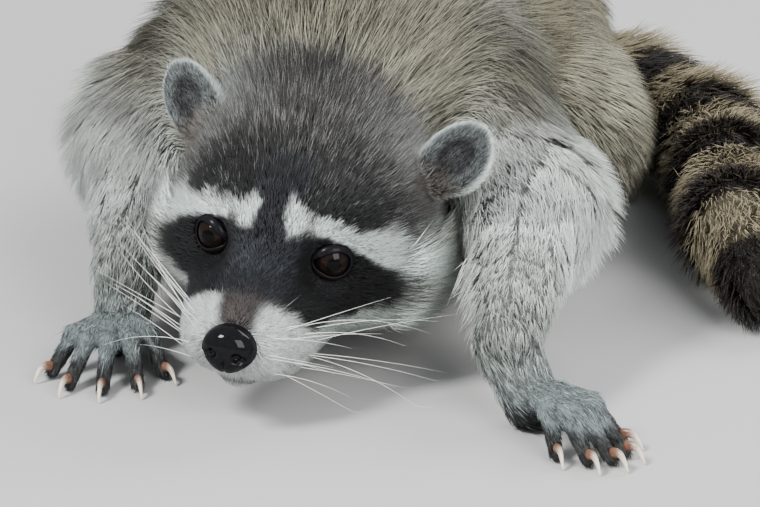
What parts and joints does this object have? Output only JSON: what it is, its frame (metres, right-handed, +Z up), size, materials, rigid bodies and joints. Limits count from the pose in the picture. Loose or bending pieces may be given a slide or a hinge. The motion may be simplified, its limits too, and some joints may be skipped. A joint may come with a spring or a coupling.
{
  "type": "raccoon",
  "caption": "Life-size still raccoon lying low on its belly, forelimbs reaching ahead with spread fingers, head turned and lowered, ringed tail curled along its left flank.",
  "frame": {"origin": "on the floor, under the middle of the animal's bounding box", "axes": "+Z up, the trunk along Y with the nose towards -Y and the rump towards +Y, the animal's left side towards +X"},
  "size_m": [0.3324, 0.474, 0.1876],
  "materials": {
    "coat": "dense fur, grey agouti with a dark mask, white brows and a ringed tail",
    "ear_fur": "short pale fur with a white rim",
    "nose_leather": "moist pebbled skin, black",
    "eye": "wet and glossy, dark brown",
    "claw_horn": "satin horn, reddish brown at the root and ivory at the tip"
  },
  "bodies": {
    "root": {"head": "coat", "lower_jaw": "coat", "nose": "nose_leather", "ear_left": "ear_fur", "eye_left": "eye", "ear_right": "ear_fur", "eye_right": "eye", "chest": "coat", "belly": "coat", "rump": "coat", "neck": "coat", "upper_arm_left": "coat", "forearm_left": "coat", "hand_left": "coat", "hand_left_claw_1": "claw_horn", "hand_left_claw_2": "claw_horn", "hand_left_claw_3": "claw_horn", "hand_left_claw_4": "claw_horn", "hand_left_claw_5": "claw_horn", "upper_arm_right": "coat", "forearm_right": "coat", "hand_right": "coat", "hand_right_claw_1": "claw_horn", "hand_right_claw_2": "claw_horn", "hand_right_claw_3": "claw_horn", "hand_right_claw_4": "claw_horn", "hand_right_claw_5": "claw_horn", "thigh_left": "coat", "shank_left": "coat", "foot_left": "coat", "foot_left_claw_1": "claw_horn", "foot_left_claw_2": "claw_horn", "foot_left_claw_3": "claw_horn", "foot_left_claw_4": "claw_horn", "foot_left_claw_5": "claw_horn", "thigh_right": "coat", "shank_right": "coat", "foot_right": "coat", "foot_right_claw_1": "claw_horn", "foot_right_claw_2": "claw_horn", "foot_right_claw_3": "claw_horn", "foot_right_claw_4": "claw_horn", "foot_right_claw_5": "claw_horn", "tail_1": "coat", "tail_2": "coat", "tail_3": "coat", "tail_4": "coat"}
  },
  "joints": []
}
